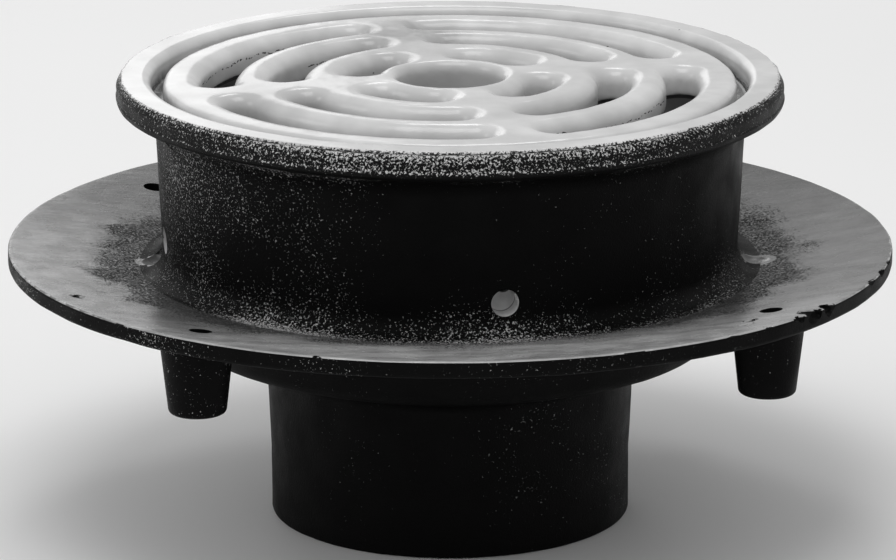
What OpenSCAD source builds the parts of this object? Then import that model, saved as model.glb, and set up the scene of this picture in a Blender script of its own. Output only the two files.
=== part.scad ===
// Round cast-iron floor drain: enamelled bowl with an anchor flange and a spigot outlet,
// a loose enamelled grate in the rim, and a loose dome strainer over the outlet.
// The origin is the centre of the outlet's end face, +Z runs up the drain's axis.

/* [Body] */
// Height of the enamelled rim above the outlet's end
body_h = 138.2; // [136:0.1:150]
// Diameter over the rim's lip
rim_d = 204.5; // [204:0.5:212]
// Outside diameter of the bowl's wall just under the rim
wall_d = 181; // [180:0.1:184]
// Thickness of the bowl's wall
wall_t = 6.2; // [5.5:0.1:7]

/* [Flange] */
// Diameter of the anchor flange
flange_d = 272; // [262:1:300]
// Height of the flange's top edge above the outlet's end
flange_z = 85.9; // [82:0.1:90]
// Thickness of the flange at its edge
flange_t = 5.6; // [4:0.1:7]
// How far the flange's top falls from its edge to the bowl
flange_fall = 7.6; // [6:0.1:8]
// Diameter of the circle of bolt holes
bolt_pcd = 239; // [236:1:246]
// Diameter of each bolt hole
bolt_hole_d = 6.9; // [6:0.1:8]
// Diameter of the bottom of the boss under each bolt hole
boss_d = 17; // [15:0.5:20]
// Angle that the bosses, which are cast, are turned off the holes, which are drilled
boss_turn = -0.7; // [-1.5:0.1:1.5]

/* [Weep holes] */
// Diameter of each weep hole
weep_d = 8.3; // [6:0.1:10]
// Height of the weep holes above the flange's top edge
weep_rise = 3.4; // [3:0.1:6]
// Angle of the weep holes off the lines midway between the bolt holes
weep_turn = 3; // [-5:0.5:5]

/* [Outlet] */
// Outside diameter of the spigot
outlet_od = 111.2; // [110:0.1:112]
// Diameter of the outlet's bore
outlet_id = 101.6; // [100:0.1:103]

/* [Grate] */
// Diameter of the grate
grate_d = 175.6; // [174:0.1:178]
// Angle that the loose grate is turned to in its seat
grate_turn = 8.5; // [-45:0.5:45]
// Width of a slot below its rounded lips
slot_w = 9.6; // [8:0.1:11]
// Radius of the rounded lips round every slot
lip_r = 4.5; // [3:0.1:5]
// Distance between the slots on each side of a spoke
spoke_w = 16; // [10:0.5:18]
// Diameter of the centre hole
hub_hole_d = 32; // [30:0.5:32]
// Radius of the rounded lip round the centre hole
hub_lip_r = 2.8; // [2:0.1:3]

/* [Enamel] */
// Thickness of the fused enamel coat
coat_t = 0.8; // [0.5:0.1:1]

/* [Strainer] */
// Rise of the strainer's dome above its flange
dome_rise = 26; // [20:1:30]
// Diameter of each drainage hole in the dome
dome_hole_d = 7; // [5:0.5:8]

/* [Hidden] */
$fn = 96;
black_paint = "#1b1b1d";
white_enamel = "#e4e4e2";
ground_coat = "#35363a";
cast_aluminium = "#b4b6b8";

past = 1;                                  // how far a cutter runs past a face
quarters = [0, 90, 180, 270];
weep_z = flange_z + weep_rise;
iron_top = body_h - coat_t;                // iron under the rim's enamel
ledge_z = iron_top - 7.9;                  // iron ledge that carries the grate
ledge_r = wall_d / 2 - wall_t;             // inner edge of that ledge
recess_r = rim_d / 2 - 10.2;               // iron wall round the grate's recess
seat_z = 53.6;                             // ledge that carries the strainer
seat_r = 54.6;
bowl_r = 82;                               // outside of the bowl's rounded bottom corner
bowl_z = 56.4;
neck_z = 48.3;                             // where the bowl's underside meets the spigot
spigot_len = 20;                           // straight length of the spigot, before its draft
boss_z = 58.1;                             // bottom of the bolt bosses
boss_top = flange_z - 5.6;                 // inside the flange
boss_draft = 2.5;                          // how much a boss widens up to the flange

grate_z = ledge_z + coat_t;                // the grate stands on the enamelled ledge
grate_top = grate_z + 7.7;
grate_edge = grate_z + 6.6;                // top of the grate's outer edge
grate_under = grate_z - 3.3;               // underside of the ribs, below the ledge
slot_rings = [28.4, 50.2, 71];

strainer_t = 2.5;
dome_r = 46;                               // radius of the dome where it leaves its flange
dome_ball = (dome_r * dome_r + dome_rise * dome_rise) / (2 * dome_rise);
dome_centre_z = seat_z + strainer_t + dome_rise - dome_ball;
dome_rings = [[14, 6], [27, 12], [40, 18]]; // angle off the axis, holes in the ring

function unit(v) = v / norm(v);
function turn(a, b) = a.x * b.y - a.y * b.x;

// One corner of an outline: [tangent point in, arc centre, tangent point out, is it convex]
function corner(before, here, after, r) =
    let (a = unit(before - here), b = unit(after - here),
         half = acos(a * b) / 2)
    [here + a * r / tan(half), here + unit(a + b) * r / sin(half),
     here + b * r / tan(half), turn(here - before, after - here) > 0];

function at(p, i) = [p[i].x, p[i].y];
function corner_of(p, i) =
    let (n = len(p))
    corner(at(p, (i + n - 1) % n), at(p, i), at(p, (i + 1) % n), p[i].z);

// Outline through points of [radius, height, corner radius], counter-clockwise, with true arcs
module outline(p) {
    bends = [for (i = [0:len(p) - 1]) if (p[i].z > 0) corner_of(p, i)];
    difference() {
        union() {
            polygon([for (i = [0:len(p) - 1])
                each (p[i].z > 0 ? [for (k = [0:2]) corner_of(p, i)[k]] : [at(p, i)])]);
            for (b = bends)
                if (b[3]) translate(b[1]) circle(norm(b[0] - b[1]));
        }
        for (b = bends)
            if (!b[3]) translate(b[1]) circle(norm(b[0] - b[1]));
    }
}

// Everything inside the casting's outer skin
module skin_outline() {
    outline([
        [0, 0, 0],
        [outlet_od / 2, 0, 1],
        [outlet_od / 2, spigot_len, 0],
        [outlet_od / 2 + 1.2, neck_z, 3],
        [bowl_r, bowl_z, 6],
        [wall_d / 2 - 3.9, flange_z - 12.6, 4],
        [flange_d / 2, flange_z - flange_t, 1.5],
        [flange_d / 2, flange_z, 1.2],
        [wall_d / 2 - 2.3, flange_z - flange_fall, 6],
        [wall_d / 2, ledge_z - 3.4, 6],
        [rim_d / 2 + 0.1, ledge_z + 0.5, 2.2],
        [rim_d / 2 - 0.1, iron_top - 2, 1.5],
        [rim_d / 2 - 1.1, iron_top, 0.6],
        [0, iron_top, 0],
    ]);
}

// The bowl's hollow, with skin taken off its walls, floor, ledge and recess
module bowl_outline(skin) {
    outline([
        [0, seat_z + past, 0],
        [seat_r, seat_z + past, 0],
        [seat_r, seat_z + 3.6 + skin, 0],
        [bowl_r - 5.8 - skin, bowl_z + 5.4 + skin, 9],
        [ledge_r - 2.4 - skin, flange_z - 4.5, 0],
        [ledge_r - skin, ledge_z + skin, 0],
        [recess_r - skin, ledge_z + skin, 0.6],
        [recess_r - skin, body_h + past, 0],
        [0, body_h + past, 0],
    ]);
}

module weep_cutters() {
    for (a = quarters)
        rotate([0, 0, a + weep_turn]) translate([ledge_r - 10, 0, weep_z])
            rotate([0, 90, 0]) cylinder(d = weep_d, h = 26);
}

module bolt_boss() {
    rotate_extrude()
        outline([
            [0, boss_z, 0],
            [boss_d / 2, boss_z, 1.2],
            [boss_d / 2 + boss_draft, boss_top, 0],
            [0, boss_top, 0],
        ]);
}

module at_bolts(turn) {
    for (a = quarters)
        rotate([0, 0, a + 45 + turn]) translate([bolt_pcd / 2, 0, 0]) children();
}

// Bowl, rim, flange, bosses and spigot are one iron casting
module body_casting() {
    color(black_paint) difference() {
        union() {
            rotate_extrude() skin_outline();
            at_bolts(boss_turn) bolt_boss();
        }
        rotate_extrude() bowl_outline(0);
        translate([0, 0, seat_z]) cylinder(r = seat_r, h = 2 * past);
        translate([0, 0, -past]) cylinder(d = outlet_id, h = seat_z + 2 * past);
        weep_cutters();
        at_bolts(0) translate([0, 0, boss_z + 4]) cylinder(d = bolt_hole_d, h = flange_z);
    }
}

// White enamel fused over the rim's top, the recess and the bowl's inside
module bowl_enamel() {
    color(white_enamel) difference() {
        rotate_extrude() difference() {
            union() {
                difference() {
                    bowl_outline(0);
                    translate([0, iron_top]) square([rim_d, 9]);
                }
                rim_coat_outline();
            }
            bowl_outline(coat_t);
            translate([0, seat_z - past]) square([seat_r, 2 * past + 4 + coat_t]);
        }
        weep_cutters();
    }
}

module rim_coat_outline() {
    outline([
        [recess_r - 4, iron_top, 0],
        [rim_d / 2 - 1.7, iron_top, 0],
        [rim_d / 2 - 1.7, body_h, 0.35],
        [recess_r - 4, body_h, 0],
    ]);
}

// Cross-section of the cut for a slot or hole: straight below, flaring over a lip of radius lip
module slot_section(half, lip, top) {
    difference() {
        union() {
            translate([0, grate_under - past]) square([half, top - grate_under + past]);
            translate([0, top - lip]) square([half + lip, lip + past]);
        }
        translate([half + lip, top - lip]) circle(lip);
    }
}

module slot_end(half, lip, top) {
    rotate_extrude(angle = 180) slot_section(half, lip, top);
}

// One curved slot, from angle a to angle b between the centres of its round ends
module slot_cutter(ring, a, b, half, lip, top) {
    rotate([0, 0, a]) {
        rotate_extrude(angle = b - a) translate([ring, 0]) {
            slot_section(half, lip, top);
            mirror([1, 0]) slot_section(half, lip, top);
        }
        translate([ring, 0, 0]) rotate([0, 0, 180]) slot_end(half, lip, top);
    }
    rotate([0, 0, b]) translate([ring, 0, 0]) slot_end(half, lip, top);
}

// The grate with skin taken off its top, its edge and the walls of its slots
module grate_shape(skin) {
    half = slot_w / 2 + skin;
    lip = lip_r - skin;
    top = grate_top - skin;
    rotate([0, 0, grate_turn]) difference() {
        rotate_extrude() outline([
            [0, grate_under, 0],
            [ledge_r - 2.3, grate_under, 1],
            [ledge_r - 2.3, grate_z, 0],
            [grate_d / 2 - skin, grate_z, 0],
            [grate_d / 2 - skin, grate_edge - skin, 2],
            [grate_d / 2 - 9, top, 5],
            [0, top, 0],
        ]);
        rotate_extrude() slot_section(hub_hole_d / 2 + skin, hub_lip_r - skin, top);
        for (ring = slot_rings, q = quarters) {
            start = asin((spoke_w / 2 + slot_w / 2) / ring);
            slot_cutter(ring, q + start, q + 90 - start, half, lip, top);
        }
    }
}

module grate_casting() {
    color(ground_coat) grate_shape(coat_t);
}

module grate_enamel() {
    color(white_enamel) difference() {
        grate_shape(0);
        grate_shape(coat_t);
    }
}

// Loose perforated dome that stands on the ledge over the outlet
module dome_strainer() {
    color(cast_aluminium) difference() {
        union() {
            translate([0, 0, seat_z]) cylinder(r = seat_r - 0.8, h = strainer_t);
            intersection() {
                translate([0, 0, dome_centre_z]) sphere(dome_ball);
                translate([0, 0, seat_z]) cylinder(r = dome_r + 1, h = dome_rise + 9);
            }
        }
        translate([0, 0, dome_centre_z]) sphere(dome_ball - strainer_t);
        for (ring = dome_rings, k = [0:ring[1] - 1])
            translate([0, 0, dome_centre_z]) rotate([0, 0, 360 / ring[1] * k]) rotate([0, ring[0], 0])
                translate([0, 0, dome_ball - 9]) cylinder(d = dome_hole_d, h = 18);
    }
}

body_casting();
bowl_enamel();
grate_casting();
grate_enamel();
dome_strainer();
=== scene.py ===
# %% [markdown]
# A cast-iron floor drain, white enamel inside and black coating outside, with a loose grate.
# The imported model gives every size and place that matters. It could be shown as it is, but its
# edges are engineer's edges, while real enamel is thick glass that ran and pooled in the kiln.
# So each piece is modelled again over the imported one, and stands for it.

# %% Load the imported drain
import math
import random

import bpy
from mathutils import Matrix, Vector, noise


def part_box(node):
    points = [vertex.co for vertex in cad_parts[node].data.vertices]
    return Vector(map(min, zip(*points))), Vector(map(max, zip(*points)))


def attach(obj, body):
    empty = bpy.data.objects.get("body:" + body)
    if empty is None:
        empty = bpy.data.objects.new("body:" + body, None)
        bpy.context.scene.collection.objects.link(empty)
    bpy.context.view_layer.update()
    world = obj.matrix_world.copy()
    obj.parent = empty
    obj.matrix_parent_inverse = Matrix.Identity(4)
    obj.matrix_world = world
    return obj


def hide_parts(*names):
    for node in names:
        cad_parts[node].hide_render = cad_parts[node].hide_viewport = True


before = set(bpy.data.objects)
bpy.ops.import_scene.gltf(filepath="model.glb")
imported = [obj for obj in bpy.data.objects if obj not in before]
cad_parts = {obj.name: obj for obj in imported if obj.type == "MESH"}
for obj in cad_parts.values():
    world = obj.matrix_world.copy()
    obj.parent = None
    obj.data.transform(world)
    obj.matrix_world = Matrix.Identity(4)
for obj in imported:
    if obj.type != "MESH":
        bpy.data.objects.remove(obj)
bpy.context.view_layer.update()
print("packed nodes:", sorted(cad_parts))

# %% [markdown]
# A maker thinks in millimetres and Blender's unit here is the metre, so every size below is
# written in millimetres and multiplied once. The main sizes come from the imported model's boxes.

# %% Main sizes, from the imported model
MM = 0.001
RECESS_DEPTH = 7.9


def box_mm(node):
    """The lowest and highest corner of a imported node, in millimetres."""
    low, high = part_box(node)
    return Vector(low) / MM, Vector(high) / MM


body_high = box_mm("body_casting")[1]
flange_r = body_high.x
iron_top = body_high.z
ledge_z = iron_top - RECESS_DEPTH

rim_top = box_mm("bowl_enamel")[1].z
coat_t = rim_top - iron_top

grate_under = box_mm("grate_casting")[0].z
grate_high = box_mm("grate_enamel")[1]
grate_r = grate_high.x
grate_top = grate_high.z

strainer_low, strainer_high = box_mm("dome_strainer")
seat_z = strainer_low.z
print(f"flange {2 * flange_r:.1f} mm across, rim {rim_top:.1f} mm up, coat {coat_t:.2f} mm thick")

# %% [markdown]
# The camera comes early, because every later choice is judged through it. A long lens far away
# keeps the round rims from looking stretched. It looks down by fifteen degrees at the flange's
# middle, and the lens is shifted, which makes room below for the outlet and keeps that angle.

# %% Camera
CAMERA_AZIMUTH = math.radians(-7.5)
CAMERA_ELEVATION = math.radians(15)
CAMERA_DISTANCE = 1.7144
AIM_Z = 85.8

aim = Vector((0, 0, AIM_Z * MM))
towards = Vector((
    math.sin(CAMERA_AZIMUTH) * math.cos(CAMERA_ELEVATION),
    -math.cos(CAMERA_AZIMUTH) * math.cos(CAMERA_ELEVATION),
    math.sin(CAMERA_ELEVATION),
))
camera_data = bpy.data.cameras.new("camera")
camera_data.lens = 223.8
camera_data.sensor_width = 36
camera_data.shift_x = -0.0023
camera_data.shift_y = -0.0472
camera_data.clip_start = 0.05
camera = bpy.data.objects.new("camera", camera_data)
bpy.context.scene.collection.objects.link(camera)
camera.location = aim + towards * CAMERA_DISTANCE
camera.rotation_euler = (-towards).to_track_quat("-Z", "Y").to_euler()
bpy.context.scene.camera = camera
print("camera at", [round(v, 3) for v in camera.location])

# %% [markdown]
# Operators act on whatever is selected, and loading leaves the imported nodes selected. So each step
# starts by letting go of everything. Faces, edges and corners are then picked in code, by a test on
# their place or their normal, the way a hand would click them.

# %% Helpers for selecting
def let_go():
    """Nothing selected, object mode."""
    if bpy.context.object and bpy.context.object.mode != "OBJECT":
        bpy.ops.object.mode_set(mode="OBJECT")
    bpy.ops.object.select_all(action="DESELECT")


def take(piece, *others):
    """Select these objects only, with the first one active."""
    let_go()
    for other in (piece, *others):
        other.select_set(True)
    bpy.context.view_layer.objects.active = piece


def pick_corners(piece, test):
    """In edit mode, select the vertices whose place passes the test."""
    bpy.ops.mesh.select_mode(type="VERT")
    bpy.ops.mesh.select_all(action="DESELECT")
    bpy.ops.object.mode_set(mode="OBJECT")
    for vertex in piece.data.vertices:
        vertex.select = test(vertex.co)
    bpy.ops.object.mode_set(mode="EDIT")


def pick_faces(piece, test):
    """In edit mode, select the faces whose centre and normal pass the test."""
    bpy.ops.mesh.select_mode(type="FACE")
    bpy.ops.mesh.select_all(action="DESELECT")
    bpy.ops.object.mode_set(mode="OBJECT")
    for face in piece.data.polygons:
        face.select = test(face.center, face.normal)
    bpy.ops.object.mode_set(mode="EDIT")


def apply_modifier(piece, kind, **settings):
    """Add one modifier, set it up and apply it."""
    take(piece)
    modifier = piece.modifiers.new(kind.lower(), kind)
    for name, value in settings.items():
        setattr(modifier, name, value)
    bpy.ops.object.modifier_apply(modifier=modifier.name)


def cut_away(piece, *cutters):
    """Subtract closed shapes from a closed shape, then throw the cutters away."""
    for cutter in cutters:
        apply_modifier(piece, "BOOLEAN", operation="DIFFERENCE", solver="MANIFOLD", object=cutter)
        bpy.data.objects.remove(cutter)


def weld_on(piece, *additions):
    """Unite closed shapes with a closed shape."""
    for addition in additions:
        apply_modifier(piece, "BOOLEAN", operation="UNION", solver="MANIFOLD", object=addition)
        bpy.data.objects.remove(addition)


def freeze(piece):
    """Apply an object's place and turn to its mesh, so that the object itself sits at the origin."""
    take(piece)
    bpy.ops.object.transform_apply(location=True, rotation=True, scale=True)


def report(piece):
    triangles = sum(len(face.vertices) - 2 for face in piece.data.polygons)
    print(f"{piece.name}: {triangles} triangles, {[round(v / MM, 1) for v in piece.dimensions]} mm")


# %% [markdown]
# Nearly everything here was turned or moulded round one axis. In the shop that is a lathe or a
# round pattern, and in Blender it is an outline and the spin tool. The outline is drawn from one
# vertex that is extruded from point to point, each corner that needs a radius is bevelled as a
# vertex, and the closed line is spun round the axis.
#
# Vertex bevel asks how far from the corner the curve starts. For a radius r in a corner whose
# sides meet at an angle, that distance is r / tan(angle / 2).

# %% Draw an outline and round its corners
SAME_PLACE = 1e-7
ARC_STEP = 0.45


def draw_outline(name, points):
    """A closed line through (radius, height, corner radius) points, in the plane y = 0."""
    let_go()
    bpy.ops.mesh.primitive_plane_add(size=MM)
    piece = bpy.context.object
    piece.name = name
    bpy.ops.object.mode_set(mode="EDIT")
    bpy.ops.mesh.select_mode(type="VERT")
    bpy.ops.mesh.select_all(action="SELECT")
    bpy.ops.mesh.merge(type="CENTER")
    places = [Vector((radius, 0, height)) * MM for radius, height, _ in points]
    bpy.ops.transform.translate(value=places[0])
    for here, there in zip(places, places[1:]):
        bpy.ops.mesh.extrude_region_move(TRANSFORM_OT_translate={"value": there - here})
    ends = (places[0], places[-1])
    pick_corners(piece, lambda co: any((co - end).length < SAME_PLACE for end in ends))
    bpy.ops.mesh.edge_face_add()
    return piece, places


def round_corners(piece, places, points):
    """Bevel each corner of the outline that has a radius."""
    count = len(places)
    for i, (here, point) in enumerate(zip(places, points)):
        if not point[2]:
            continue
        back = places[i - 1] - here
        ahead = places[(i + 1) % count] - here
        reach = point[2] * MM / math.tan(back.angle(ahead) / 2)
        arc = math.pi - back.angle(ahead)
        pick_corners(piece, lambda co: (co - here).length < SAME_PLACE)
        bpy.ops.mesh.bevel(
            offset=reach, offset_type="OFFSET", affect="VERTICES", profile=0.5,
            segments=max(2, min(10, round(arc * point[2] / ARC_STEP))),
        )


# %% [markdown]
# Spinning the finished outline a whole turn gives the ring. Its first and last line lie on each
# other, so doubles are merged, and then the normals are made to point outwards, because spin can
# leave a shape inside out. Long straight sides are halved a few times before the spin, which gives
# the displacement further on something to move.

# %% Turn an outline into a ring
RING_STEPS = 256


def spin_ring(steps=RING_STEPS):
    """Spin the drawn line a whole turn round the upright axis and close the seam."""
    bpy.ops.mesh.select_all(action="SELECT")
    bpy.ops.mesh.spin(steps=steps, angle=math.tau, center=(0, 0, 0), axis=(0, 0, 1))
    bpy.ops.mesh.select_all(action="SELECT")
    bpy.ops.mesh.remove_doubles(threshold=1e-6)
    bpy.ops.mesh.normals_make_consistent(inside=False)


def split_long_edges(piece, longest):
    """Halve the outline's edges until none is longer than this, in millimetres."""
    bpy.ops.mesh.select_mode(type="EDGE")
    while True:
        bpy.ops.mesh.select_all(action="DESELECT")
        bpy.ops.object.mode_set(mode="OBJECT")
        corners = piece.data.vertices
        found = 0
        for edge in piece.data.edges:
            a, b = (corners[i].co for i in edge.vertices)
            edge.select = (a - b).length > longest * MM
            found += edge.select
        bpy.ops.object.mode_set(mode="EDIT")
        if not found:
            return
        bpy.ops.mesh.subdivide(number_cuts=1)


def turned(name, points, longest=None):
    """A closed ring with this outline."""
    piece, places = draw_outline(name, points)
    round_corners(piece, places, points)
    if longest:
        split_long_edges(piece, longest)
    spin_ring()
    let_go()
    report(piece)
    return piece


def uneven(piece, depth, grain):
    """Sink the surface here and there, never more than depth, in patches grain wide (both mm)."""
    clouds = bpy.data.textures.new(piece.name, "CLOUDS")
    clouds.noise_scale = grain * MM
    apply_modifier(
        piece, "DISPLACE", texture=clouds, texture_coords="LOCAL",
        strength=depth * MM, mid_level=1.0,
    )


# %% [markdown]
# Things that repeat round the drain are made once, at +X, and copied by turning. Without a window
# transform.rotate turns the other way and forgets its pivot, so both are told to it.

# %% Copy a piece round the axis
def turn_about_axis(piece, degrees):
    """Turn a piece round the drain's axis, counter-clockwise as seen from above."""
    take(piece)
    bpy.ops.transform.rotate(
        value=-math.radians(degrees), orient_axis="Z", orient_type="GLOBAL",
        center_override=(0, 0, 0),
    )
    freeze(piece)


def four_round(piece, first_turn):
    """Four copies of the piece, a quarter turn apart, the first at first_turn degrees."""
    copies = []
    for quarter in range(4):
        take(piece)
        bpy.ops.object.duplicate(linked=False)
        copy = bpy.context.object
        turn_about_axis(copy, first_turn + 90 * quarter)
        copies.append(copy)
    bpy.data.objects.remove(piece)
    return copies


# %% [markdown]
# The iron body is one casting: spigot, bowl, flange, wall and lip. Its outline runs up the outside
# and back down the inside. The corner radii are a foundry's: the mould's sand can't hold a sharp
# corner, and a fillet where two walls meet keeps the iron from cracking as it cools. The small step
# low on the lip is the parting line, where the two halves of the mould met. A displacement then
# sinks the skin a few tenths of a millimetre here and there, because sand never packs evenly.

# %% The iron body, turned
BORE_R = 50.8
THROAT_R = 54.6
THROAT_Z = 57.2
BOWL_LOW = (76.2, 61.8)
BOWL_HIGH = (81.9, 81.4)
LEDGE_R = 84.3
RECESS_R = 92.05
FLANGE_ROOT_R = 88.2
FLANGE_ROOT_Z = 78.3
FLANGE_EDGE_Z = 85.9
LONGEST = 4

body = turned("drain_body_iron", [
    (BORE_R, 0, 0),
    (55.6, 0, 1),
    (55.6, 20, 0),
    (56.8, 48.3, 3),
    (82, 56.4, 6),
    (86.6, 73.3, 5),
    (flange_r, 80.3, 1.5),
    (flange_r, FLANGE_EDGE_Z, 1.2),
    (FLANGE_ROOT_R, FLANGE_ROOT_Z, 6),
    (90.5, 126.1, 7),
    (101.9, 129.9, 2),
    (102.3, 131.9, 0.5),
    (101.9, 132.4, 0.5),
    (102.1, 135.4, 2),
    (100.9, iron_top, 0.5),
    (RECESS_R, iron_top, 2.4),
    (RECESS_R, ledge_z, 0),
    (LEDGE_R, ledge_z, 0),
    (*BOWL_HIGH, 0),
    (*BOWL_LOW, 9),
    (THROAT_R, THROAT_Z, 0.5),
    (THROAT_R, seat_z, 0),
    (BORE_R, seat_z, 0),
], longest=LONGEST)
uneven(body, 0.4, 14)

# %% [markdown]
# Under each bolt hole hangs a tapered boss, so that the tapped hole can be blind and the flange
# stays watertight. A boss is a cone from the primitive menu with its lower edge bevelled, because
# the mould's draft makes a boss narrower the further it is from the flange.

# %% Bolt bosses and bolt holes
BOLT_CIRCLE_R = 119.5
BOLT_HOLE_R = 3.45
BOLT_TURN = 45
BOSS_TURN = 44.3
BOSS_LOW_Z = 58.1
BOSS_HIGH_Z = 80.3
BOSS_LOW_R = 8.5
BOSS_HIGH_R = 11
BOSS_EDGE = 1.3
BOSS_FLOOR = 4


def boss():
    """A tapered boss at +X, with its lower edge rounded."""
    height = BOSS_HIGH_Z - BOSS_LOW_Z
    let_go()
    bpy.ops.mesh.primitive_cone_add(
        vertices=64, radius1=BOSS_LOW_R * MM, radius2=BOSS_HIGH_R * MM, depth=height * MM,
        location=(BOLT_CIRCLE_R * MM, 0, (BOSS_LOW_Z + height / 2) * MM),
    )
    piece = bpy.context.object
    freeze(piece)
    bpy.ops.object.mode_set(mode="EDIT")
    pick_faces(piece, lambda centre, normal: normal.z < -0.9)
    bpy.ops.mesh.bevel(offset=BOSS_EDGE * MM, segments=4, affect="EDGES")
    let_go()
    return piece


def bolt_hole():
    """A drill that stops a little above the boss's lower end."""
    length = 40
    let_go()
    bpy.ops.mesh.primitive_cylinder_add(
        vertices=48, radius=BOLT_HOLE_R * MM, depth=length * MM,
        location=(BOLT_CIRCLE_R * MM, 0, (BOSS_LOW_Z + BOSS_FLOOR + length / 2) * MM),
    )
    return bpy.context.object


weld_on(body, *four_round(boss(), BOSS_TURN))
cut_away(body, *four_round(bolt_hole(), BOLT_TURN))
report(body)

# %% [markdown]
# Just above the flange four weep holes let water that has crept under the floor back into the bowl.
# Each was drilled through the wall along a radius, so the cutter is a cylinder that lies along X,
# and is longer than the wall is thick.

# %% Weep holes
WEEP_Z = 89.3
WEEP_TURN = 3
WEEP_R = 4.15
WALL_MIDDLE_R = 88


def weep_hole():
    """A drill through the wall at +X."""
    let_go()
    bpy.ops.mesh.primitive_cylinder_add(
        vertices=48, radius=WEEP_R * MM, depth=26 * MM, rotation=(0, math.pi / 2, 0),
        location=(WALL_MIDDLE_R * MM, 0, WEEP_Z * MM),
    )
    return bpy.context.object


cut_away(body, *four_round(weep_hole(), WEEP_TURN))
report(body)

# %% [markdown]
# On two sides the flange has a smooth dish at the foot of the wall. A ball squashed to a lens and
# tilted along the flange cuts it. The flange's top falls towards the wall in a straight line, so
# its height at any radius is a simple proportion.

# %% Dishes at the foot of the wall
FLANGE_FALL = 7.6
FLANGE_RUN = 47.8
DISHES = ((94.6, -9), (91.2, 175))
DISH_HALF = (5.6, 5.95, 2.94)
DISH_RISE = 2.2
DISH_TILT = math.atan2(FLANGE_FALL, FLANGE_RUN)


def flange_skin(radius):
    """The height of the flange's top at this radius, where it falls in a straight line."""
    return FLANGE_ROOT_Z + (radius - FLANGE_ROOT_R) * FLANGE_FALL / FLANGE_RUN


def dish_middle(radius, turn):
    """The middle of a dish, on the flange's straight line, in millimetres."""
    angle = math.radians(turn)
    return Vector((radius * math.cos(angle), radius * math.sin(angle), flange_skin(radius)))


def dish(radius, turn):
    """A ball flattened to a lens, tilted to lie along the flange's fall."""
    let_go()
    bpy.ops.mesh.primitive_uv_sphere_add(segments=64, ring_count=32, radius=MM)
    piece = bpy.context.object
    piece.scale = DISH_HALF
    piece.rotation_euler = (0, -DISH_TILT, 0)
    piece.location = Vector((radius, 0, flange_skin(radius) + DISH_RISE)) * MM
    freeze(piece)
    turn_about_axis(piece, turn)
    return piece


cut_away(body, *[dish(*where) for where in DISHES])
report(body)

# %% [markdown]
# Shipping knocks cast flanges about. Cast iron doesn't dent, it chips, with a rough, shell-like
# break. A chip is a ball whose points are pushed in and out at random, from a fixed seed so that
# each run gives the same chips, and squashed along the edge that it bites into. Three shallow ones
# are flaws in the flange's skin, and the last is a flaw high on the wall.

# %% Chips in the flange's edge
chance = random.Random(7)
EDGE_R = 136.2
WALL_CHIP_Z = 123.4

# Turn, radius, height of the middle, and half the length, depth and height.
CHIPS = (
    (-19, EDGE_R, FLANGE_EDGE_Z + 0.3, 3.0, 1.5, 1.6),
    (-24, EDGE_R, FLANGE_EDGE_Z + 0.2, 3.4, 2.0, 2.0),
    (-29, EDGE_R, FLANGE_EDGE_Z + 0.2, 3.6, 1.8, 1.8),
    (-42, 136.0, FLANGE_EDGE_Z + 0.3, 3.6, 4.2, 3.4),
    (-45.5, 135.8, FLANGE_EDGE_Z + 0.2, 4.2, 5.4, 3.6),
    (-48.5, EDGE_R, FLANGE_EDGE_Z + 0.2, 3.0, 3.0, 2.4),
    (-54, EDGE_R, FLANGE_EDGE_Z + 0.4, 4.4, 1.8, 1.4),
    (-60, EDGE_R, FLANGE_EDGE_Z + 0.4, 5.0, 2.2, 1.3),
    (-113.8, EDGE_R, FLANGE_EDGE_Z + 0.1, 2.2, 1.6, 1.6),
    (28, EDGE_R, FLANGE_EDGE_Z + 0.2, 2.6, 1.3, 1.3),
    (141, EDGE_R, FLANGE_EDGE_Z + 0.2, 3.6, 1.4, 1.5),
    (-158.5, 126, flange_skin(126), 2.4, 3.0, 0.8),
    (-51.5, 122.4, flange_skin(122.4), 3.4, 1.8, 0.9),
    (-54, 125.5, flange_skin(125.5), 3.0, 1.5, 0.8),
    (-165.4, 91.2, WALL_CHIP_Z, 5.2, 1.3, 1.8),
)


def chip(turn, radius, z, length, depth, height):
    """A rough pebble at this angle, long in the direction round the flange."""
    let_go()
    bpy.ops.mesh.primitive_ico_sphere_add(subdivisions=4, radius=MM)
    piece = bpy.context.object
    for vertex in piece.data.vertices:
        vertex.co *= 1 + 0.35 * noise.noise(vertex.co / MM * 1.6 + Vector((turn, 0, 0)))
        vertex.co *= 1 + chance.uniform(-0.03, 0.03)
    piece.scale = (depth, length, height)
    piece.location = Vector((radius, 0, z)) * MM
    freeze(piece)
    turn_about_axis(piece, turn)
    return piece


cut_away(body, *[chip(*row) for row in CHIPS])
report(body)

# %% [markdown]
# The enamel is glass powder melted onto the iron, about as thick as a fingernail. It covers the
# rim's top, the recess and the inside of the bowl. Its outline follows the iron's inside and comes
# back one coat thickness away. Molten glass rounds every edge that it crosses, so its radii are
# larger than the iron's.

# %% The bowl's enamel, turned
ENAMEL_EDGE_R = 100.6

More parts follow.
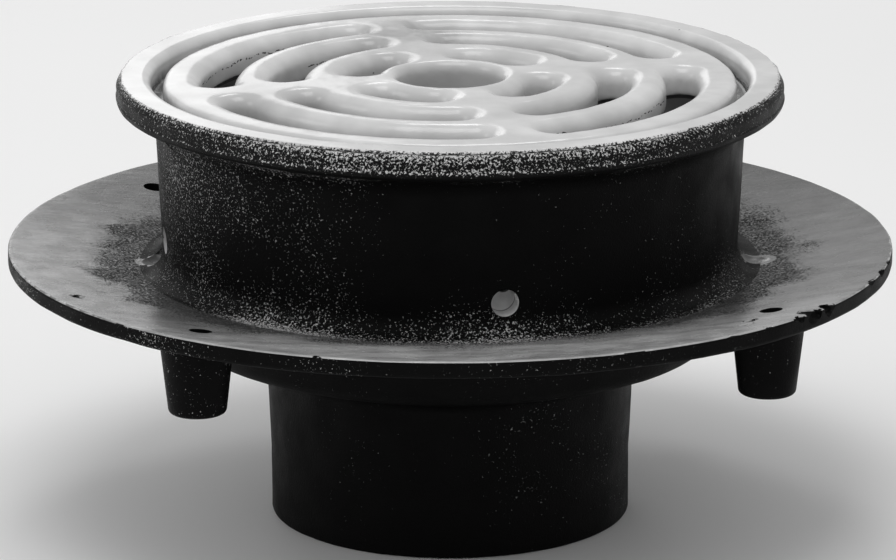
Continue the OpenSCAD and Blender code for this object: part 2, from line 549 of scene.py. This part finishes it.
enamel = turned("bowl_enamel_coat", [
    (ENAMEL_EDGE_R, iron_top, 0),
    (ENAMEL_EDGE_R, rim_top, 0.75),
    (RECESS_R - coat_t, rim_top, 3),
    (RECESS_R - coat_t, ledge_z + coat_t, 1.2),
    (LEDGE_R - coat_t, ledge_z + coat_t, 1.5),
    (BOWL_HIGH[0] - coat_t, BOWL_HIGH[1] + coat_t, 0),
    (BOWL_LOW[0] - coat_t, BOWL_LOW[1] + coat_t, 8.5),
    (THROAT_R, THROAT_Z + coat_t, 0.5),
    (THROAT_R, THROAT_Z, 0),
    (*BOWL_LOW, 9),
    (*BOWL_HIGH, 0),
    (LEDGE_R, ledge_z, 0),
    (RECESS_R, ledge_z, 0),
    (RECESS_R, iron_top, 2.4),
], longest=LONGEST)
uneven(enamel, 0.15, 12)
cut_away(enamel, *four_round(weep_hole(), WEEP_TURN))
report(enamel)

# %% [markdown]
# The enamel's outer edge was wiped by hand before firing, so it wanders. Only the vertices near
# that edge are moved, by a noise that follows the circle.

# %% Let the enamel's edge wander
WANDER_FROM_R = 99
WANDER_FADE = 1.2

moved = 0
for vertex in enamel.data.vertices:
    flat = Vector((vertex.co.x, vertex.co.y, 0))
    reach = flat.length / MM
    if reach > WANDER_FROM_R:
        way = flat.normalized()
        wander = 0.5 * noise.noise(way * 9) + 0.35 * noise.noise(way * 31)
        vertex.co += way * wander * min(1, (reach - WANDER_FROM_R) / WANDER_FADE) * MM
        moved += 1
print(f"moved {moved} vertices of the enamel's edge")

# %% [markdown]
# The grate starts as a flat turned disc with a step underneath, and the slots are cut from it. A
# slot's cutter is its cross-section, straight below and flared like a trumpet at the top, swept
# along an arc and then round each end. Cutting with that flare is what makes the bars between the
# slots round-topped. The sweep along the slot is a spin about the drain's axis, with its angle
# negated because spin counts clockwise. Each end is a whole turn about the slot's own end.

# %% The slot cutters
SLOT_HALF_W = 4.8
LIP_R = 5
SLOT_RINGS = (28.4, 50.2, 71)
SPOKE_W = 16
GRATE_TURN = 8.5
LIP_STEPS = 8
END_STEPS = 48
SWEEP_STEP = 1.5
OVERCUT_TOP = 3


def flared_side(half, lip, top, low):
    """One side of a slot's section, from the middle of its floor up and out over the lip."""
    side = [(0, low), (half, low), (half, top - lip)]
    for k in range(1, LIP_STEPS + 1):
        angle = math.radians(90 * k / LIP_STEPS)
        side.append((half + lip - lip * math.cos(angle), top - lip + lip * math.sin(angle)))
    return side + [(half + lip, top + OVERCUT_TOP), (0, top + OVERCUT_TOP)]


def swept(section, centre_r, start, sweep, steps):
    """Spin a closed section that stands at centre_r, from start degrees through sweep degrees."""
    piece, _ = draw_outline("cutter", [(centre_r + x, z, 0) for x, z in section])
    bpy.ops.mesh.select_all(action="SELECT")
    bpy.ops.mesh.edge_face_add()
    bpy.ops.mesh.spin(steps=steps, angle=-math.radians(sweep), center=(0, 0, 0), axis=(0, 0, 1))
    bpy.ops.mesh.select_all(action="SELECT")
    bpy.ops.mesh.normals_make_consistent(inside=False)
    let_go()
    turn_about_axis(piece, start)
    return piece


def round_end(section, centre_r, at):
    """A whole turn of half a section about a slot's end."""
    piece, _ = draw_outline("cutter", [(x, z, 0) for x, z in section])
    spin_ring(END_STEPS)
    let_go()
    take(piece)
    angle = math.radians(at)
    piece.location = Vector((math.cos(angle), math.sin(angle), 0)) * centre_r * MM
    freeze(piece)
    return piece


def slot_cutter(ring, half, lip, top, low):
    """One slot, in the quarter that starts at angle 0."""
    side = flared_side(half, lip, top, low)
    section = side[1:-1] + [(-x, z) for x, z in reversed(side[1:-1])]
    start = math.degrees(math.asin((SPOKE_W / 2 + SLOT_HALF_W) / ring))
    sweep = 90 - 2 * start
    steps = max(10, round(ring * math.radians(sweep) / SWEEP_STEP))
    bar = swept(section, ring, start, sweep, steps)
    weld_on(bar, round_end(side, ring, start), round_end(side, ring, 90 - start))
    return bar


# %% [markdown]
# The same shape is wanted twice: once for the outside of the enamel, and once, a coat thickness
# smaller, for the iron core that is taken out of it to leave a shell of glass. So the steps are in
# one function with the skin as its argument.

# %% The grate's form
HUB_HOLE_R = 16
HUB_LIP_R = 3.4
GRATE_LEDGE_R = 82
GRATE_EDGE_ROUND = 2.6
OVERCUT_LOW = 2
GLAZE_LIFT = 0.8


def grate_form(name, skin, low):
    """The slotted disc with skin taken off its top, edge and slot walls, down to height low."""
    top = grate_top - skin
    radius = grate_r - skin
    form = turned(name, [
        (0, low, 0),
        (GRATE_LEDGE_R, low, 0),
        (GRATE_LEDGE_R, ledge_z + coat_t, 0),
        (radius, ledge_z + coat_t, 0),
        (radius, top, GRATE_EDGE_ROUND),
        (0, top, 0),
    ])
    hub_side = flared_side(HUB_HOLE_R + skin, HUB_LIP_R - skin, top, low - OVERCUT_LOW)
    cutters = [round_end(hub_side, 0, 0)]
    for ring in SLOT_RINGS:
        cutter = slot_cutter(ring, SLOT_HALF_W + skin, LIP_R - skin, top, low - OVERCUT_LOW)
        cutters += four_round(cutter, GRATE_TURN)
    cut_away(form, *cutters)
    report(form)
    return form


glaze = grate_form("grate_enamel_coat", 0, grate_under + GLAZE_LIFT)
grate_iron = grate_form("grate_iron", coat_t, grate_under)

# %% [markdown]
# A voxel remesh turns the sharp-edged cut shape into an even skin of small quads, and smoothing it
# lets the edges flow as glass does. A displacement by soft noise leaves the glaze a little uneven,
# as poured glass is. Then the disc gets its crown: the grate is slightly domed, so that water runs
# off it. The lowest two millimetres stay flat, because the grate sits on them.

# %% Let the glaze flow
VOXEL = 0.8
CROWN = 1.1
FLAT_FOOT = 2

apply_modifier(glaze, "REMESH", mode="VOXEL", voxel_size=VOXEL * MM)
apply_modifier(glaze, "SMOOTH", factor=0.5, iterations=6)
uneven(glaze, 0.3, 9)
report(glaze)


def crown(piece):
    """Lower the disc towards its edge, along a parabola, with its underside left flat."""
    for vertex in piece.data.vertices:
        share = min(1, math.hypot(vertex.co.x, vertex.co.y) / MM / grate_r)
        rise = (vertex.co.z / MM - grate_under - FLAT_FOOT) / (grate_top - grate_under - FLAT_FOOT)
        vertex.co.z -= CROWN * share ** 2 * max(0, min(1, rise)) * MM


crown(glaze)

# %% [markdown]
# The iron inside gets the same crown. A copy of it is then taken out of the glaze, so that what
# is left is a shell of glass with the iron lying in it.

# %% Take the iron out of the glaze
crown(grate_iron)
take(grate_iron)
bpy.ops.object.duplicate(linked=False)
cut_away(glaze, bpy.context.object)
report(glaze)

# %% [markdown]
# The strainer is a small aluminium dome that keeps rubbish out of the pipe. It stands loose on a
# ledge in the bowl's throat. A ball is cut off below by bisect, a turned flange is united with it,
# and a smaller ball with the same middle is taken out, which leaves an even wall.

# %% The dome strainer
DOME_R = 46
STRAINER_T = 2.5

dome_rise = strainer_high.z - seat_z - STRAINER_T
ball_r = (DOME_R ** 2 + dome_rise ** 2) / (2 * dome_rise)
ball_z = strainer_high.z - ball_r


def ball(radius, name):
    """A ball about the dome's middle, left in edit mode with all of it selected."""
    let_go()
    bpy.ops.mesh.primitive_uv_sphere_add(
        segments=160, ring_count=160, radius=radius * MM, location=(0, 0, ball_z * MM),
    )
    piece = bpy.context.object
    piece.name = name
    freeze(piece)
    bpy.ops.object.mode_set(mode="EDIT")
    bpy.ops.mesh.select_all(action="SELECT")
    return piece


strainer = ball(ball_r, "strainer_dome")
bpy.ops.mesh.bisect(
    plane_co=(0, 0, (seat_z + 1) * MM), plane_no=(0, 0, 1), clear_inner=True, use_fill=True,
)
let_go()
rim_ring = turned("strainer_flange", [
    (DOME_R - 4, seat_z, 0),
    (strainer_high.x, seat_z, 0.5),
    (strainer_high.x, seat_z + STRAINER_T, 0.8),
    (DOME_R + 1.5, seat_z + STRAINER_T, 1.5),
    (DOME_R - 4, seat_z + STRAINER_T + 2, 0),
])
weld_on(strainer, rim_ring)
hollow = ball(ball_r - STRAINER_T, "hollow")
let_go()
cut_away(strainer, hollow)
report(strainer)

# %% [markdown]
# The holes are drilled square to the dome's surface, in three rows. Each row is a lean from the
# axis and a number of holes, and the drill's own axis points away from the ball's middle.

# %% Drill the strainer
DOME_ROWS = ((14, 6), (27, 12), (40, 18))
HOLE_R = 3.5
DRILL_LENGTH = 16


def dome_drill(lean, turn):
    """A drill that leans from the axis, at the dome's surface."""
    let_go()
    flat = math.sin(lean)
    way = Vector((flat * math.cos(turn), flat * math.sin(turn), math.cos(lean)))
    bpy.ops.mesh.primitive_cylinder_add(
        vertices=32, radius=HOLE_R * MM, depth=DRILL_LENGTH * MM,
        location=Vector((0, 0, ball_z * MM)) + way * ball_r * MM,
        rotation=way.to_track_quat("Z", "Y").to_euler(),
    )
    return bpy.context.object


cut_away(strainer, *[
    dome_drill(math.radians(lean), math.tau * k / count)
    for lean, count in DOME_ROWS
    for k in range(count)
])
report(strainer)

# %% [markdown]
# Shading: faces that meet at a small angle are shaded as one smooth surface, and real edges stay
# crisp. Weighted normals let the large faces set the shading, so that the thin triangles a boolean
# leaves beside a hole don't show.

# %% Smooth shading
CRISP = 32
SOFT = 40
GLASSY = 60

for piece, angle in (
    (body, CRISP), (enamel, SOFT), (glaze, GLASSY), (grate_iron, CRISP), (strainer, CRISP),
):
    take(piece)
    bpy.ops.object.shade_smooth_by_angle(angle=math.radians(angle))
for piece in (body, enamel, strainer):
    apply_modifier(piece, "WEIGHTED_NORMAL", keep_sharp=True, weight=80)
print("shaded five pieces")

# %% [markdown]
# Materials are node networks in Object coordinates, which are metres, so a noise scale of 1000
# makes grains about a millimetre wide. A small class keeps the wiring short to read.

# %% A helper for material nodes
class Finish:
    """One Principled material and short calls to build the nodes that feed it."""

    def __init__(self, name, **values):
        self.material = bpy.data.materials.new(name)
        self.material.use_nodes = True
        self.tree = self.material.node_tree
        self.shader = self.tree.nodes["Principled BSDF"]
        self.place = self.tree.nodes.new("ShaderNodeTexCoord").outputs["Object"]
        for socket, value in values.items():
            self.shader.inputs[socket.replace("_", " ")].default_value = value

    def node(self, kind, outlet, feeds=(), **settings):
        node = self.tree.nodes.new("ShaderNode" + kind)
        for name, value in settings.items():
            setattr(node, name, value)
        for socket, value in dict(feeds).items():
            if isinstance(value, bpy.types.NodeSocket):
                self.tree.links.new(value, node.inputs[socket])
            else:
                node.inputs[socket].default_value = value
        return node.outputs[outlet]

    def noise(self, scale, detail=2.0, roughness=0.5, place=None):
        feeds = {
            "Vector": place or self.place, "Scale": scale, "Detail": detail,
            "Roughness": roughness,
        }
        return self.node("TexNoise", "Fac", feeds)

    def cells(self, scale, outlet="Distance"):
        feeds = {"Vector": self.place, "Scale": scale, "Randomness": 1.0}
        return self.node("TexVoronoi", outlet, feeds)

    def between(self, value, low, high, to_low=0.0, to_high=1.0):
        feeds = {
            "Value": value, "From Min": low, "From Max": high,
            "To Min": to_low, "To Max": to_high,
        }
        return self.node("MapRange", "Result", feeds)

    def maths(self, operation, *values):
        return self.node("Math", "Value", dict(enumerate(values)), operation=operation)

    def mix(self, share, first, second):
        node = self.tree.nodes.new("ShaderNodeMix")
        node.data_type = "RGBA"
        for index, value in ((0, share), (6, first), (7, second)):
            if isinstance(value, bpy.types.NodeSocket):
                self.tree.links.new(value, node.inputs[index])
            else:
                node.inputs[index].default_value = value
        return node.outputs[2]

    def ragged(self, value, scale, detail, reach):
        """The value moved to and fro by noise, by at most about reach."""
        wobble = self.between(self.noise(scale, detail), 0.3, 0.7, -reach, reach)
        return self.maths("ADD", value, wobble)

    def radius(self):
        feeds = {0: self.place, 1: (1, 1, 0)}
        flat = self.node("VectorMath", "Vector", feeds, operation="MULTIPLY")
        return self.node("VectorMath", "Value", {0: flat}, operation="LENGTH")

    def distance(self, place):
        feeds = {0: self.place, 1: place}
        return self.node("VectorMath", "Value", feeds, operation="DISTANCE")

    def axis(self, name, source=None):
        return self.node("SeparateXYZ", name, {"Vector": source or self.place})

    def bump(self, height, distance, strength=1.0, under=None):
        feeds = {"Height": height, "Distance": distance, "Strength": strength}
        if under:
            feeds["Normal"] = under
        return self.node("Bump", "Normal", feeds)

    def wire(self, **sockets):
        for socket, value in sockets.items():
            self.tree.links.new(value, self.shader.inputs[socket.replace("_", " ")])
        return self.material


def grey(value):
    return (value, value, value, 1)


# %% [markdown]
# White enamel is a bright body with a clear, very smooth skin. What makes it look like enamel and
# not paint is its flaws: a faint mottle and cloudiness where the coat is thinner, a slow unevenness
# that bends the reflections, and a few black pinholes where a bubble burst down to the ground coat.
# A pinhole is the middle of a cell, and the cell's own random colour says which few get one.

# %% White enamel
CELL_SCALE = 75


def white_enamel(name):
    """The bare recipe: the finish, its white with its flaws, and its bump."""
    finish = Finish(name, Roughness=0.2, IOR=1.52)
    mottle = finish.noise(55, 3)
    tone = finish.mix(finish.between(mottle, 0.35, 0.7), grey(0.58), grey(0.74))
    cloudy = finish.noise(26, 2)
    tone = finish.mix(finish.between(cloudy, 0.5, 0.68, 0.0, 0.55), tone, grey(0.4))
    chosen = finish.axis("X", finish.cells(CELL_SCALE, "Color"))
    size = finish.between(chosen, 0.93, 1.0, 0.0, 0.05)
    pinhole = finish.maths("LESS_THAN", finish.cells(CELL_SCALE), size)
    tone = finish.mix(pinhole, tone, grey(0.02))
    slow = finish.bump(finish.noise(70, 1), 0.0006, 0.35)
    fine = finish.bump(finish.noise(420, 2), 0.00006, 0.4, slow)
    return finish, tone, fine


# %% [markdown]
# In the bowl the enamel breaks up into grains at its outer edge, painted shade darkens the corner
# where the grate sits, and further down the white is painted a duller grey, as painted shade.

# %% Enamel in the bowl
finish, tone, skin = white_enamel("enamel_bowl")
fade = finish.between(finish.radius(), 0.0992, 0.1009, 0.75, 0.4)
ragged = finish.maths("GREATER_THAN", finish.noise(1300, 3, 0.7), fade)
tone = finish.mix(ragged, tone, grey(0.01))
# Painted shade: a patchy dark mark in the corner under the grate's edge.
corner = finish.maths("MULTIPLY", finish.between(finish.radius(), 0.086, 0.089),
                      finish.between(finish.axis("Z"), 0.1312, 0.134, 1.0, 0.0))
corner_shade = finish.maths("MULTIPLY", corner, finish.between(finish.noise(90, 3), 0.3, 0.5))
tone = finish.mix(finish.maths("MINIMUM", corner_shade, 0.93), tone, grey(0.02))
# Painted shade: the white turns grey towards the bottom of the bowl.
tone = finish.mix(finish.between(finish.axis("Z"), 0.121, 0.129, 0.75, 0.0), tone, grey(0.22))
bowl_white = finish.wire(Base_Color=tone, Normal=skin)
print("made", bowl_white.name)

# %% [markdown]
# On the grate a fine broken line runs along the slots' walls, where the glaze drew back from the
# edge and the dark ground coat shows. There is one grey stain on a spoke.

# %% Enamel on the grate
STAIN = (-6.8, 61.4, grate_top)
LINE_DEPTH = LIP_R + 0.6

finish, tone, skin = white_enamel("enamel_grate")
steep = finish.maths("LESS_THAN", finish.axis("Z", finish.node("NewGeometry", "Normal")), 0.35)
line_z = finish.ragged(finish.axis("Z"), 160, 3, 0.0008)
near = finish.maths("COMPARE", line_z, (grate_top - LINE_DEPTH) * MM, 0.0002)
broken = finish.maths("GREATER_THAN", finish.noise(900, 2), 0.5)
broken = finish.maths("MULTIPLY", broken, finish.maths("GREATER_THAN", finish.noise(35, 2), 0.5))
worn = finish.maths("MULTIPLY", finish.maths("MULTIPLY", near, steep), broken)
tone = finish.mix(worn, tone, grey(0.03))
away = finish.ragged(finish.distance(Vector(STAIN) * MM), 120, 3, 0.005)
tone = finish.mix(finish.between(away, 0.006, 0.019, 0.7, 0.0), tone, grey(0.2))
grate_white = finish.wire(Base_Color=tone, Normal=skin)
print("made", grate_white.name)

# %% [markdown]
# Where the coat is thin, on the lip, the grain is a real bump, and each grain's glint is a painted
# highlight, a bright speck put into the colour. Where it ran together, on top of the flange, it is
# smooth, with streaks that are partly painted reflection of the room. So the lip, the wall and the
# bolt holes share one recipe with their own settings, and the flange's top comes after.

# %% Black coating
GRAIN_SCALE = 1500


def black_coat(name, roughness, specular, rise):
    """The bare recipe: the finish, its sand grain, its black and its bump."""
    finish = Finish(name, IOR=1.5, Specular_IOR_Level=specular)
    sand = finish.noise(GRAIN_SCALE, 3, 0.7)
    tone = finish.mix(finish.noise(24, 4), grey(0.001), grey(0.003))
    rough = finish.between(finish.noise(90, 3), 0.3, 0.7, roughness - 0.08, roughness + 0.1)
    slow = finish.bump(finish.noise(60, 3), 0.0008, 0.3)
    finish.wire(Roughness=rough, Normal=finish.bump(sand, 0.0003, rise, slow))
    return finish, sand, tone


def painted_glints(finish, sand, tone, limit, bright):
    """Painted highlights: bright specks in the colour where the grain stands above the limit."""
    speck = finish.between(finish.maths("SUBTRACT", sand, limit), 0.0, 0.03)
    return finish.mix(speck, tone, grey(bright))


# %% [markdown]
# A limit says how high a grain must stand to get a painted highlight speck, so a lower limit gives
# more specks. On the lip it is low in front, higher at the sides and on the underside, where shade
# falls, and lowest along the top edge.

# %% Coating on the lip
finish, sand, tone = black_coat("coating_lip", 0.45, 0.12, 0.9)
up = finish.axis("Z", finish.node("NewGeometry", "Normal"))
# Painted highlights: these limits place the bright specks by side and by which way a face points.
limit = finish.between(finish.noise(14, 3), 0.35, 0.65, 0.61, 0.525)
limit = finish.maths("ADD", limit, finish.between(finish.axis("X"), 0.04, 0.095, 0.0, 0.05))
limit = finish.maths("ADD", limit, finish.between(finish.axis("X"), -0.1, -0.06, 0.025, 0.0))
limit = finish.maths("ADD", limit, finish.between(up, -0.7, 0.1, 0.2, 0.0))
limit = finish.maths("ADD", limit, finish.between(finish.axis("Z"), 0.1363, 0.1374, 0.0, -0.08))
lip_black = finish.wire(Base_Color=painted_glints(finish, sand, tone, limit, 0.6))
print("made", lip_black.name)

# %% [markdown]
# On the wall the painted highlight specks are sparse, and come in drifts. There are more on the
# left, towards the left light, and more again low on the wall and in the fillet at its foot, where
# the coat turns up to the light.

# %% Coating on the wall and below the flange
FLANGE_LOW = 0.078

finish, sand, tone = black_coat("coating_wall", 0.5, 0.06, 0.5)
height = finish.axis("Z")
over_flange = finish.maths("GREATER_THAN", height, FLANGE_LOW)
limit = finish.between(finish.noise(22, 4), 0.3, 0.7, 0.77, 0.62)
# Painted highlights: more specks on the left, towards the left light.
left_side = finish.between(finish.axis("X"), -0.095, -0.03, -0.06, 0.0)
limit = finish.maths("ADD", limit, finish.maths("MULTIPLY", left_side, over_flange))
limit = finish.maths("ADD", limit, finish.between(height, 0.06, 0.08, 0.03, 0.0))
near_wall = finish.maths("MULTIPLY", over_flange, finish.maths("LESS_THAN", finish.radius(), 0.1))
# Painted highlights: more specks low on the wall and in the upturned fillet, in front.
low_wall = finish.between(height, 0.082, 0.094, 0.08, 0.0)
foot = finish.between(finish.radius(), 0.091, 0.0935, 0.0, 0.07)
front = finish.between(finish.maths("ABSOLUTE", finish.axis("X")), 0.07, 0.09, 1.0, 0.0)
lit_foot_specks = finish.maths("MULTIPLY", finish.maths("MULTIPLY", near_wall, front),
                        finish.maths("ADD", low_wall, foot))
limit = finish.maths("SUBTRACT", limit, lit_foot_specks)
wall_black = finish.wire(Base_Color=painted_glints(finish, sand, tone, limit, 0.5))
print("made", wall_black.name)

# %% [markdown]
# A bolt hole is plain black. The white enamel ran into the weep holes from the bowl, and ends with
# a ragged edge just short of the wall's outer face.

# %% Finishes inside the holes
finish, sand, tone = black_coat("coating_hole", 0.5, 0.12, 0.5)
hole_black = finish.wire(Base_Color=tone)

finish = Finish("weep_glaze", Roughness=0.2)
reach = finish.ragged(finish.radius(), 500, 3, 0.0005)
past_edge = finish.between(reach, 0.0885, 0.0889)
weep_white = finish.wire(Base_Color=finish.mix(past_edge, grey(0.7), grey(0.005)))
print("made", hole_black.name, weep_white.name)

# %% [markdown]
# On the flange's top the coat ran smooth. A noise stretched along X gives its streaks, in a grey
# that is partly painted reflection of the room. It is painted palest towards the front and deepest
# black at the back, as painted reflection and shade. Over that comes what changes with the distance
# from the axis: bright grains by the fillet, which are painted highlights, a patchy band of dark,
# rougher grain that is the black wall's painted reflection, and along the very edge a thin pale
# line that is a painted highlight on the rounded edge. The two dishes are kept smooth.

# %% Glossy run-out coating on the flange's top
finish = Finish("coating_flange", IOR=1.5, Specular_IOR_Level=0.5)
reach = finish.radius()
sand = finish.noise(GRAIN_SCALE, 3, 0.7)
stretch = finish.node("Mapping", "Vector", {"Vector": finish.place, "Scale": (60, 170, 90)})
streaks = finish.noise(1, 4, 0.6, place=stretch)
# Painted reflection: a raised, streaked grey for the room mirrored in the coat.
smooth = finish.mix(finish.between(streaks, 0.35, 0.65), grey(0.1), grey(0.17))
across = finish.axis("Y")
# Painted shade: deepest black towards the back.
smooth = finish.mix(finish.between(across, 0.01, 0.08, 0.0, 0.75), smooth, grey(0.02))
# Painted reflection: palest towards the front.
pale = finish.mix(finish.between(streaks, 0.35, 0.65), grey(0.3), grey(0.52))
smooth = finish.mix(finish.between(across, -0.108, -0.065, 1.0, 0.0), smooth, pale)
side = finish.maths("ABSOLUTE", finish.axis("X"))
gaps = [finish.distance(dish_middle(*where) * MM) for where in DISHES]
outside_dish = finish.between(finish.maths("MINIMUM", *gaps), 0.0048, 0.006)
# Painted reflection: a band of dark grain near the wall, wider at the sides, for the black wall
# mirrored in the flange.
band_end = finish.between(side, 0.03, 0.1, 0.102, 0.111)
inside = finish.ragged(finish.maths("SUBTRACT", band_end, reach), 60, 3, 0.005)
wall_reflection_limit = finish.between(inside, -0.008, 0.006, 0.3, 0.56)
wall_reflection_limit = finish.maths("MULTIPLY", wall_reflection_limit, outside_dish)
dark = finish.between(finish.maths("SUBTRACT", wall_reflection_limit, sand), 0.0, 0.03)
tone = finish.mix(dark, smooth, grey(0.004))
# Painted highlights: bright specks by the fillet, in front, and none in the dishes.
limit = finish.between(reach, 0.0955, 0.1, 0.56, 0.74)
limit = finish.maths("ADD", limit, finish.between(side, 0.07, 0.09, 0.0, 0.2))
limit = finish.maths("ADD", limit, finish.between(outside_dish, 0.0, 1.0, 0.3, 0.0))
tone = painted_glints(finish, sand, tone, limit, 0.5)
# Painted highlight: a thin pale line along the flange's rounded edge.
edge = finish.ragged(reach, 300, 3, 0.0006)
tone = finish.mix(finish.between(edge, 0.1352, 0.1355), tone, grey(0.4))
slow = finish.bump(streaks, 0.0005, 0.35)
rise = finish.bump(sand, 0.00015, 0.4, slow)
rough = finish.between(finish.noise(120, 4), 0.35, 0.7, 0.16, 0.34)
rough = finish.maths("ADD", rough, finish.maths("MULTIPLY", dark, 0.6))
flange_black = finish.wire(Base_Color=tone, Roughness=rough, Normal=rise)
print("made", flange_black.name)

# %% [markdown]
# The iron of the grate has only the thin dark ground coat that the white enamel is fired onto. The
# strainer is bare cast aluminium, so it is metallic, and its grain shows in roughness and bump.

# %% Ground coat and aluminium
finish = Finish("ground_coat", Roughness=0.45)
tone = finish.mix(finish.noise(120, 4), grey(0.012), grey(0.05))
sand = finish.bump(finish.noise(700, 3, 0.7), 0.0002, 0.6)
ground_coat = finish.wire(Base_Color=tone, Normal=sand)

finish = Finish("cast_aluminium", Metallic=1.0)
tone = finish.mix(finish.noise(200, 4), grey(0.42), grey(0.62))
rough = finish.between(finish.noise(350, 3), 0.3, 0.7, 0.28, 0.48)
sand = finish.bump(finish.noise(900, 3, 0.7), 0.00015, 0.5)
aluminium = finish.wire(Base_Color=tone, Roughness=rough, Normal=sand)
print("made ground coat and aluminium")

# %% [markdown]
# One casting carries five finishes, so each of its faces gets a material by where it is. These
# tests tell a weep hole's wall, a bolt hole, a dish and the flange's top from the rest.

# %% Tests on a face's place
WEEP_WAYS = [Vector((math.cos(a), math.sin(a), 0)) for a in
             (math.radians(WEEP_TURN + 90 * k) for k in range(4))]


def in_weep_hole(centre, normal):
    """Is this place, in millimetres, on the wall of a weep hole?"""
    for way in WEEP_WAYS:
        along = centre.dot(way)
        aside = (centre - way * along - Vector((0, 0, WEEP_Z))).length
        if 80 < along < 91.5 and aside < WEEP_R + 0.15 and abs(normal.dot(way)) < 0.3:
            return True
    return False


def in_bolt_hole(centre, normal):
    """Is this place, in millimetres, on the wall or the floor of a bolt hole?"""
    if centre.z > BOSS_HIGH_Z - 2 and abs(normal.z) > 0.5:
        return False
    fold = Vector((abs(centre.x), abs(centre.y), 0))
    middle = Vector((1, 1, 0)).normalized() * BOLT_CIRCLE_R
    return (fold - middle).length < BOLT_HOLE_R + 0.15 and centre.z > BOSS_LOW_Z + 3


def in_dish(centre):
    """Is this place, in millimetres, on the skin that a dish's lens has cut?"""
    for radius, turn in DISHES:
        offset = centre - dish_middle(radius, turn) - Vector((0, 0, DISH_RISE))
        offset = Matrix.Rotation(-math.radians(turn), 3, "Z") @ offset
        offset = Matrix.Rotation(DISH_TILT, 3, "Y") @ offset
        share = Vector([part / half for part, half in zip(offset, DISH_HALF)])
        if abs(share.length - 1) < 0.05:
            return True
    return False


FILLET_R = 96.3


def on_flange_top(centre, normal):
    """Is this place, in millimetres, on the flange's own top skin, and not in a chip?"""
    reach = math.hypot(centre.x, centre.y)
    skin = flange_skin(reach)
    depth = 1.2 if reach < 110 else 0.6
    return reach > FILLET_R and normal.z > 0.5 and skin - depth < centre.z < skin + 0.5


# %% [markdown]
# The body's faces are sorted by those tests, from the most particular to the most general. The
# other pieces have one material each.

# %% Give the pieces their finishes
LIP_LOW_Z = 128
LIP, FLANGE, WEEP_HOLE, BOLT_HOLE = 1, 2, 3, 4


def coat_piece(piece, *materials):
    """Give a piece these materials and no others. Its faces all start with the first."""
    piece.data.materials.clear()
    for material in materials:
        piece.data.materials.append(material)


coat_piece(body, wall_black, lip_black, flange_black, weep_white, hole_black)
for face in body.data.polygons:
    centre = face.center / MM
    if centre.z > LIP_LOW_Z:
        face.material_index = LIP
    elif in_weep_hole(centre, face.normal):
        face.material_index = WEEP_HOLE
    elif in_bolt_hole(centre, face.normal):
        face.material_index = BOLT_HOLE
    elif in_dish(centre) or on_flange_top(centre, face.normal):
        face.material_index = FLANGE
coat_piece(enamel, bowl_white)
coat_piece(glaze, grate_white)
coat_piece(strainer, aluminium)
coat_piece(grate_iron, ground_coat)
for index, material in enumerate(body.data.materials):
    print(material.name, sum(face.material_index == index for face in body.data.polygons), "faces")

# %% [markdown]
# Each piece rides on the body that carries it, so that it moves with the joints. Each row also
# names the imported node that the piece stands for, which is hidden, and a finish, which nothing
# here uses.

# %% Tie the pieces to the frame
for piece, rides_on, node, slot in (
    (body, "drain_body", "body_casting", "body_coating"),
    (enamel, "drain_body", "bowl_enamel", "enamel"),
    (glaze, "grate", "grate_enamel", "grate_enamel"),
    (grate_iron, "grate", "grate_casting", "grate_ground_coat"),
    (strainer, "strainer", "dome_strainer", "strainer_aluminium"),
):
    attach(piece, rides_on)
    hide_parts(node)
print("tied five pieces")

# %% [markdown]
# The drain stands on a plain pale floor. It is part of the stage and not of the drain.

# %% Floor
let_go()
bpy.ops.mesh.primitive_plane_add(size=12)
floor = bpy.context.object
floor.name = "floor"
finish = Finish("pale_floor", Roughness=0.75)
coat_piece(floor, finish.wire(Base_Color=finish.mix(finish.noise(3, 2), grey(0.88), grey(0.92))))
print("laid the floor")

# %% [markdown]
# Glossy enamel and black coating show mostly what they mirror, so the lights are large and soft.
# The strongest is high and a little in front, for the rim and the grate. One on the left draws the
# wall's edge, one behind is low enough to lie mirrored in the flange, and a small one gives the
# grate's bars their highlights. The even surroundings fill in the rest.

# %% Lights and surroundings
WORLD_STRENGTH = 0.58


def soft_light(name, place, size, power):
    """A square area light that faces the drain."""
    data = bpy.data.lights.new(name, "AREA")
    data.size = size
    data.energy = power
    light = bpy.data.objects.new(name, data)
    bpy.context.scene.collection.objects.link(light)
    light.location = place
    light.rotation_euler = (Vector(place) - aim).to_track_quat("Z", "Y").to_euler()


soft_light("above", (-0.15, -0.35, 1.7), 1.0, 8.5)
soft_light("left", (-1.7, 0.1, 1.1), 0.7, 2.8)
soft_light("behind", (-0.25, 2.0, 0.75), 0.9, 2.8)
soft_light("sparkle", (0.2, 1.0, 1.3), 0.35, 2.2)

world = bpy.data.worlds.new("studio")
bpy.context.scene.world = world
world.use_nodes = True
background = world.node_tree.nodes["Background"]
background.inputs["Color"].default_value = grey(1)
background.inputs["Strength"].default_value = WORLD_STRENGTH
bpy.context.scene.view_settings.view_transform = "Standard"
